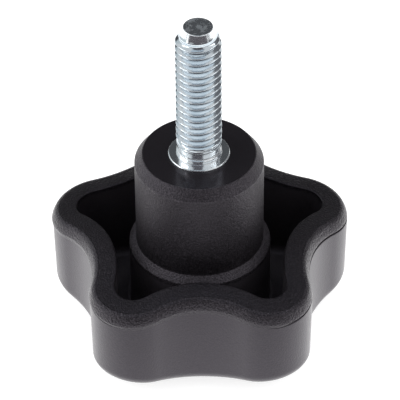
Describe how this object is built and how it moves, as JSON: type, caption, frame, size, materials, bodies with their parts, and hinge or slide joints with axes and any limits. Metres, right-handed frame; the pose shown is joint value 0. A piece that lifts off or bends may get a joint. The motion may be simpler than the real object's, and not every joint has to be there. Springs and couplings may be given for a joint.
{
  "type": "star knob",
  "caption": "Five-lobed star grip knob in black plastic, hollow on the stud's side, with a stepped hub and a moulded-in plated steel screw stud.",
  "frame": {"origin": "centre of the flat land in the middle of the domed side, on which the knob stands", "axes": "+Z along the stud, from the domed side to the stud's tip; one lobe points along +Y"},
  "size_m": [0.0388, 0.0375, 0.0476],
  "materials": {
    "grip_plastic": "black glass-filled plastic, spark-eroded grain on the rim and hub, smoother side walls, polished hub face",
    "stud_steel": "bright bluish zinc plating on rolled and turned steel"
  },
  "bodies": {
    "root": {"knob_body": "grip_plastic", "threaded_stud": "stud_steel"}
  },
  "joints": []
}
